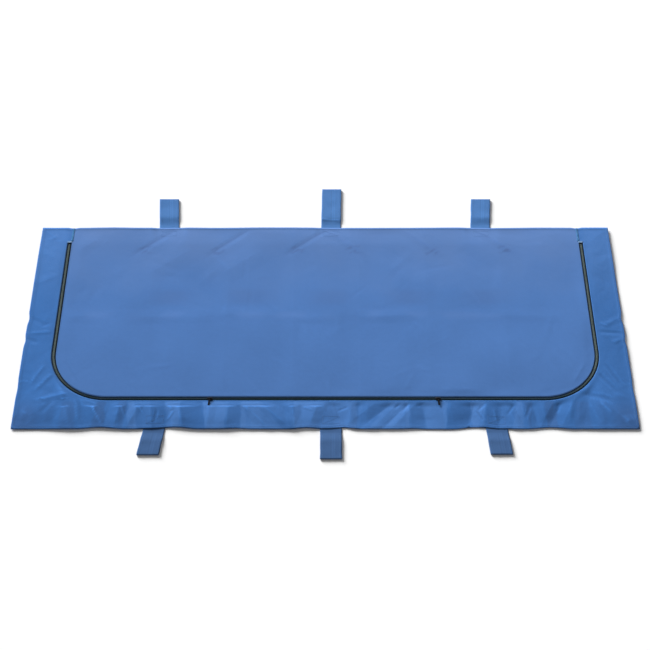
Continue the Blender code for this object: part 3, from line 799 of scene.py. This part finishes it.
def beside(x, y, offset):
    """Points at an offset from the zip's middle toward the lid."""
    step_x, step_y = toward_lid(x, y)
    return x + step_x * offset, y + step_y * offset


def cut_edge(y):
    """How far the sheets' cut edges stand from the zip's middle: closer along the front."""
    return PANEL_EDGE + (FRONT_EDGE - PANEL_EDGE) * ease((CORNER_Y - y) / CORNER_RADIUS)


def outer_points(side_end, spacing):
    """Plan points on the pouch's edge that face the zip's points one to one."""
    down, turn, across = u_steps(side_end, spacing)
    to_side = np.minimum(1.0, 1 / np.maximum(np.tan(turn), 0.0001))
    to_front = np.minimum(1.0, np.tan(turn))
    left_x = np.concatenate([0 * down - HALF_LENGTH, -CORNER_X - (HALF_LENGTH - CORNER_X) * to_side])
    left_y = np.concatenate([down, CORNER_Y - (HALF_WIDTH + CORNER_Y) * to_front])
    return u_line(left_x, left_y, across, -HALF_WIDTH)


def make_border():
    """The U-shaped top sheet, from the zip out to the hem."""
    spacing = 0.0045
    middle_x, middle_y = zip_line(HALF_WIDTH, spacing)
    inner_x, inner_y = beside(middle_x, middle_y, -cut_edge(middle_y))
    outer_x, outer_y = outer_points(HALF_WIDTH, spacing)
    behind = inner_y > ZIP_END + 0.016
    inner_x = np.where(behind, np.sign(inner_x) * (LID_EDGE_X + 0.0003), inner_x)
    share = np.concatenate([between(0, 0.04, 4)[:-1], between(0.04, 1.0, 27)])
    x = outer_x[:, None] + (inner_x - outer_x)[:, None] * share
    y = outer_y[:, None] + (inner_y - outer_y)[:, None] * share
    grid, cloth = lifted(x, y, top_height)
    piece = sheet_piece("border_sheet", grid, cloth, SHEET, border_finish, tone=painted_facet_shading(x, y))
    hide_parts("top_border")
    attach(piece, "pouch")


def make_lid():
    """The lid and the strip behind its fold, one sheet from the zip to the back edge."""
    turn = between(0, math.pi / 2, 42)
    radius = CORNER_RADIUS - cut_edge(CORNER_Y - CORNER_RADIUS * np.cos(turn))
    straight = between(0, CORNER_X, 96)[:-1]
    right = np.concatenate([straight, CORNER_X + radius * np.sin(turn)])
    right_front = np.concatenate([0 * straight + ZIP_FRONT + FRONT_EDGE, CORNER_Y - radius * np.cos(turn)])
    columns = np.concatenate([-right[:0:-1], right])
    front = np.concatenate([right_front[:0:-1], right_front])
    share = np.concatenate([between(0, 0.93, 96)[:-1], between(0.93, 1, 14)])
    x = columns[:, None] + 0 * share
    y = front[:, None] + (HALF_WIDTH - front)[:, None] * share
    grid, cloth = lifted(x, y, top_height)
    tone = lid_tone(x, y)
    piece = sheet_piece("lid_sheet", grid, cloth, SHEET, lid_finish, crease_scale=900.0, tone=tone)
    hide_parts("lid_panel", "lid_back_strip")
    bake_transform(piece)


# Zip


def along_path(x, y):
    """The distance along a line of points."""
    return np.concatenate([[0], np.cumsum(np.hypot(np.diff(x), np.diff(y)))])


def make_tape(name, side, side_end, nodes, body):
    """One woven zip tape, lying under the edge of its sheet."""
    x, y = zip_line(side_end, 0.008)
    offsets = side * between(TAPE_INNER, TAPE_INNER + TAPE_WIDTH, 9)
    plan_x, plan_y = beside(x[:, None], y[:, None], offsets)
    ridge = 0.00025 * np.exp(-(((np.abs(offsets) - 0.0046) / 0.0006) ** 2))
    under = top_height(plan_x, plan_y) - SHEET - 0.0002
    z = np.where(np.abs(offsets) < FRONT_EDGE, TAPE_TOP + ridge, np.minimum(TAPE_TOP, under))
    grid = np.stack([plan_x, plan_y, z], -1)
    distance = along_path(x, y)[:, None] + 0 * offsets
    cloth = np.stack([distance, offsets + 0 * distance, 0 * distance], -1)
    piece = sheet_piece(name, grid, cloth, TAPE_CLOTH, tape_finish, crease_scale=0.0)
    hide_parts(*nodes)
    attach(piece, body)


def row_spread(x, y):
    """How far each row stands aside between the two sliders, where the zip is open."""
    left, right = SLIDERS
    opening = ease((x - left + 0.002) / 0.008) * ease((right + 0.002 - x) / 0.008)
    return ROW_SPREAD * opening * (y < ZIP_FRONT + 0.001)


def evenly(x, y, pitch, first):
    """Evenly spaced points and headings along a line of points."""
    distance = along_path(x, y)
    stations = np.arange(first, distance[-1], pitch)
    even_x = np.interp(stations, distance, x)
    even_y = np.interp(stations, distance, y)
    ahead_x = np.interp(stations + 0.0005, distance, x)
    ahead_y = np.interp(stations + 0.0005, distance, y)
    behind_x = np.interp(stations - 0.0005, distance, x)
    behind_y = np.interp(stations - 0.0005, distance, y)
    return even_x, even_y, np.arctan2(ahead_y - behind_y, ahead_x - behind_x)


def make_coil(name, side, nodes, body):
    """One coil row: wound loops side by side, each reaching just past the middle."""
    loop = rounded_bar(*COIL_LOOP, COIL_HEIGHT, 8)
    x, y = zip_line(ZIP_END, 0.004)
    first = COIL_PITCH * (0.5 if side > 0 else 1.0)
    even_x, even_y, heading = evenly(x, y, COIL_PITCH, first)
    row_x, row_y = beside(even_x, even_y, side * (COIL_REACH + row_spread(even_x, even_y)))
    height = 0 * even_x + TAPE_TOP + 0.0003 + COIL_HEIGHT / 2
    frames = np.stack([row_x, row_y, height, heading + math.pi / 2], -1)
    piece = repeated(name, loop, frames, coil_finish)
    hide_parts(*nodes)
    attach(piece, body)


def make_zip():
    """Both tapes and both coil rows."""
    parts = ("left", "front", "right")
    make_tape("border_tape", -1, ZIP_END + 0.016, ["zip_tape_border"], "pouch")
    make_tape("lid_tape", 1, FOLD - 0.0006, [f"zip_tape_lid_{part}" for part in parts], "lid")
    make_coil("border_coil", -1, [f"zip_coil_border_{part}" for part in parts], "pouch")
    make_coil("lid_coil", 1, [f"zip_coil_lid_{part}" for part in parts], "lid")


def round_corners(corners_x, corners_y, spacing):
    """Points at even steps along the straight lines between corners."""
    distance = along_path(corners_x, corners_y)
    stations = np.arange(0, distance[-1], spacing)
    return np.interp(stations, distance, corners_x), np.interp(stations, distance, corners_y)


def stitched(name, x, y, height, body, look):
    """A row of thread stitches lying on a surface."""
    length, pitch, radius = STITCH
    even_x, even_y, heading = evenly(x, y, pitch, 0.002)
    z = height(even_x, even_y) + 0.4 * radius
    moved_x, moved_y = tucked(even_x, even_y)
    frames = np.stack([moved_x, moved_y, z, heading], -1)
    piece = repeated(name, rounded_bar(length, 2 * radius, 2 * radius, 6), frames, look)
    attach(piece, body)


def make_stitching():
    """Thread rows beside the zip and along the hem."""
    middle_x, middle_y = zip_line(ZIP_END, 0.006)
    x, y = beside(middle_x, middle_y, -cut_edge(middle_y) - ZIP_ROW)
    stitched("border_zip_stitches", x, y, top_height, "pouch", thread_finish)
    middle_x, middle_y = zip_line(ZIP_END - 0.004, 0.006)
    x, y = beside(middle_x, middle_y, cut_edge(middle_y) + ZIP_ROW)
    stitched("lid_zip_stitches", x, y, top_height, "lid", thread_finish)
    side = HALF_LENGTH - HEM_ROW
    front = HALF_WIDTH - HEM_ROW
    corners_x = np.array([-side, side, side, -side, -side])
    corners_y = np.array([-front, -front, front, front, -front])
    x, y = round_corners(corners_x, corners_y, 0.006)
    stitched("hem_stitches", x, y, top_height, "pouch", thread_finish)


def make_seam(name, side):
    """The band over the joint from a zip end to the back edge, with two thread rows."""
    node_low, node_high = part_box(f"seam_welt_{name}")
    share = between(0, 1, 7)
    columns = node_low.x + (node_high.x - node_low.x) * share
    y, x = np.meshgrid(between(node_low.y, node_high.y, 26), columns, indexing="ij")
    crown = 0.0003 * (1 - (2 * share - 1) ** 2)

    def height(plan_x, plan_y):
        return top_height(plan_x, plan_y) + BAND_RISE

    grid, cloth = lifted(x, y, height)
    grid[..., 2] += crown
    piece = sheet_piece(f"seam_band_{name}", grid, cloth, BAND_CLOTH, seam_finish, crease_scale=0.0)
    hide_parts(f"seam_welt_{name}")
    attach(piece, "pouch")
    for row, offset in (("inner", -SEAM_ROW), ("outer", SEAM_ROW)):
        line_y = between(node_low.y + 0.001, node_high.y - 0.002, 12)
        line_x = 0 * line_y + side * LID_EDGE_X + offset
        row_name = f"seam_thread_{name}_{row}"
        stitched(row_name, line_x, line_y, height, "pouch", pale_thread_finish)


def make_patch(name):
    """The woven patch sewn over a zip end."""
    node_low, node_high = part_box(f"zip_end_patch_{name}")
    share = between(0, 1, 13)
    x, y = np.meshgrid(
        node_low.x + (node_high.x - node_low.x) * share, between(node_low.y, node_high.y, 8), indexing="ij"
    )
    edge_x = np.minimum(x - node_low.x, node_high.x - x)
    edge = np.minimum(edge_x, np.minimum(y - node_low.y, node_high.y - y))
    z = node_high.z - 0.0003 * (1 - ease(edge / 0.0012)) + 0.0002 * waves(x, y, 41, 0.006)
    grid = np.stack([x, y, z], -1)
    cloth = grid * (1, 1, 0)
    piece = sheet_piece(f"end_patch_{name}", grid, cloth, PATCH_CLOTH, patch_finish, crease_scale=0.0)
    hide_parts(f"zip_end_patch_{name}")
    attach(piece, "pouch")


# Straps


def strap_path(reach):
    """The strap's middle line: out along the floor, round the end and back, as (out, height)."""
    end = reach - HINGE_OUT - PLY / 2 - STRAP_FOLD
    low = STRAP_FLOOR_GAP + PLY / 2
    high = low + 2 * STRAP_FOLD
    outs = [between(-STRAP_TAIL, 0.010, 14), between(0.016, end, 30)]
    heights = [0 * outs[0] + HINGE_Z - PLY / 2 - 0.00005]
    start = HINGE_Z - PLY / 2
    heights.append(low + (start - low) * (1 - ease((outs[1] - 0.010) / 0.030)))
    turn = between(-math.pi / 2, math.pi / 2, 12)[1:-1]
    outs.append(end + STRAP_FOLD * np.cos(turn))
    heights.append(low + STRAP_FOLD + STRAP_FOLD * np.sin(turn))
    back = between(end, 0.016, 30)
    sag = 0.0006 * np.sin(np.pi * np.clip((back - 0.03) / (end - 0.03), 0, 1)) ** 2
    outs.append(back)
    heights.append(HINGE_Z + PLY / 2 + (high - HINGE_Z - PLY / 2) * ease((back - 0.006) / 0.045) - sag)
    outs.append(between(0.010, -STRAP_TAIL, 14))
    heights.append(0 * outs[-1] + HINGE_Z + PLY / 2 + 0.00005)
    return np.concatenate(outs), np.concatenate(heights)


def make_strap(name, edge, root_x, reach, lean, number):
    """A strap: one strip folded into a loop, its two ends sewn into the pouch's edge."""
    out, height = strap_path(reach)
    share = between(-0.5, 0.5, 19)
    across = share * STRAP_WIDTH
    distance = along_path(out, height)
    plan_out = out[:, None] + 0 * across
    rows = np.arange(len(out))
    upper = ease((rows - len(out) / 2) / 4)[:, None]
    free = ease(out / 0.03)[:, None]
    wobble = waves(plan_out + 3 * number, across + 0 * plan_out, 51 + number, 0.07)
    seam = -0.00035 * np.exp(-((across / 0.0011) ** 2)) + 0.0003 * tent(across - 0.012, 0.004)
    if name == "back_middle":
        seam = seam + 0.0022 * tent(plan_out - 0.034 + 0.1 * across, 0.006) * (0.6 + 0.4 * wobble)
    z = height[:, None] + (0.00045 * wobble + seam) * upper * free
    edge_wave = 0.0006 * waves(plan_out, 0 * plan_out, 61 + number, 0.05) * free
    x = root_x + lean * np.maximum(plan_out, 0) + across + edge_wave * np.sign(share)
    y = edge * (HALF_WIDTH + HINGE_OUT + plan_out)
    grid = np.stack([x, y, z], -1)
    cloth = np.stack([across + 0 * plan_out + number, distance[:, None] + 0 * across, 0 * x], -1)
    look = front_strap_finish if edge < 0 else strap_finish
    piece = sheet_piece(f"strap_{name}", grid, cloth, PLY * 0.9, look, face_up=False)
    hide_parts(f"handle_{name}", f"handle_tail_{name}")
    body = f"{name}_strap"
    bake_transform(piece)
    on_top = rows[(out > 0.02) & (rows > len(out) / 2)]
    for side, column in (("left", 2), ("right", 16)):
        row = strap_stitches(f"strap_thread_{name}_{side}", grid[on_top, column])
        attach(row, body)


def strap_stitches(name, line):
    """A row of stitches along a line of points on a strap's upper ply."""
    length, pitch, radius = STITCH
    even_x, even_y, heading = evenly(line[:, 0], line[:, 1], pitch, 0.003)
    order = np.argsort(line[:, 1])
    z = np.interp(even_y, line[order, 1], line[order, 2]) + 0.00005 + 0.2 * radius
    frames = np.stack([even_x, even_y, z, heading], -1)
    return repeated(name, rounded_bar(length, 2 * radius, 2 * radius, 6), frames, thread_finish)


def make_strap_boxes():
    """The box of stitches through the rim that holds each strap's ends."""
    for name, edge, root_x, _, _ in STRAPS:
        half = STRAP_WIDTH / 2 - BOX_MARGIN
        near = edge * (HALF_WIDTH - BOX_NEAR)
        far = edge * (HALF_WIDTH - BOX_FAR)
        corners_x = root_x + half * np.array([-1, 1, 1, -1, -1, 1])
        corners_y = np.array([near, near, far, far, near, far])
        x, y = round_corners(corners_x, corners_y, 0.002)
        stitched(f"strap_box_{name}", x, y, top_height, "pouch", thread_finish)


# Setting


def make_floor():
    """A plain white floor."""
    bpy.ops.object.select_all(action="DESELECT")
    bpy.ops.mesh.primitive_plane_add(size=30.0, location=(0.0, 0.0, -0.0002))
    floor = bpy.context.object
    floor.name = "white_floor"
    paper = Finish("white floor", specular=0.1)
    paper.set("Base Color", (0.93, 0.93, 0.93, 1.0))
    paper.set("Roughness", 0.9)
    floor.data.materials.append(paper.material)


def make_camera():
    """The camera in front of the pouch, looking down at it."""
    elevation = math.radians(52.0)
    distance = 5.1531
    target = Vector((-0.0008, -0.0084, 0.0))
    camera = bpy.data.objects.new("camera", bpy.data.cameras.new("camera"))
    camera.data.lens = 79.62
    camera.data.sensor_width = 36.0
    camera.location = target + distance * Vector((0.0, -math.cos(elevation), math.sin(elevation)))
    camera.rotation_euler = (math.radians(90.0) - elevation, 0.0, 0.0)
    bpy.context.scene.collection.objects.link(camera)
    bpy.context.scene.camera = camera


def make_light():
    """A soft low key from the back left, and an even pale surround."""
    key = bpy.data.objects.new("key", bpy.data.lights.new("key", "SUN"))
    key.data.energy = 7.85
    key.data.angle = math.radians(28.0)
    key.rotation_euler = Vector((-0.54, 0.75, 0.33)).to_track_quat("Z", "Y").to_euler()
    key.visible_glossy = False
    bpy.context.scene.collection.objects.link(key)
    sheen = bpy.data.objects.new("sheen", bpy.data.lights.new("sheen", "AREA"))
    sheen.data.shape = "RECTANGLE"
    sheen.data.size = 6.0
    sheen.data.size_y = 2.0
    sheen.data.energy = 60.0
    sheen.location = (0.0, 5.0, 2.6)
    sheen.rotation_euler = sheen.location.to_track_quat("Z", "Y").to_euler()
    bpy.context.scene.collection.objects.link(sheen)
    world = bpy.data.worlds.new("surround")
    world.use_nodes = True
    tree = world.node_tree
    background = tree.nodes["Background"]
    background.inputs["Color"].default_value = (1.0, 1.0, 1.0, 1.0)
    path = tree.nodes.new("ShaderNodeLightPath")
    strength = tree.nodes.new("ShaderNodeMapRange")
    strength.inputs["To Min"].default_value = 0.22
    strength.inputs["To Max"].default_value = 1.0
    tree.links.new(path.outputs["Is Camera Ray"], strength.inputs["Value"])
    tree.links.new(strength.outputs["Result"], background.inputs["Strength"])
    bpy.context.scene.world = world
    bpy.context.scene.view_settings.view_transform = "Standard"


make_camera()
make_floor()
make_light()
make_bottom()
make_border()
make_lid()
make_zip()
make_stitching()
for side_name, side_sign in (("left", -1), ("right", 1)):
    make_seam(side_name, side_sign)
    make_patch(side_name)
    refined(f"zip_stop_{side_name}", 0.0005, metal_finish, "pouch")
    refined(f"slider_{side_name}", 0.0002, metal_finish, f"{side_name}_slider")
    refined(f"slider_pull_{side_name}", 0.00015, metal_finish, f"{side_name}_pull")
for strap_number, strap in enumerate(STRAPS):
    make_strap(*strap, strap_number)
make_strap_boxes()

bpy.context.view_layer.update()
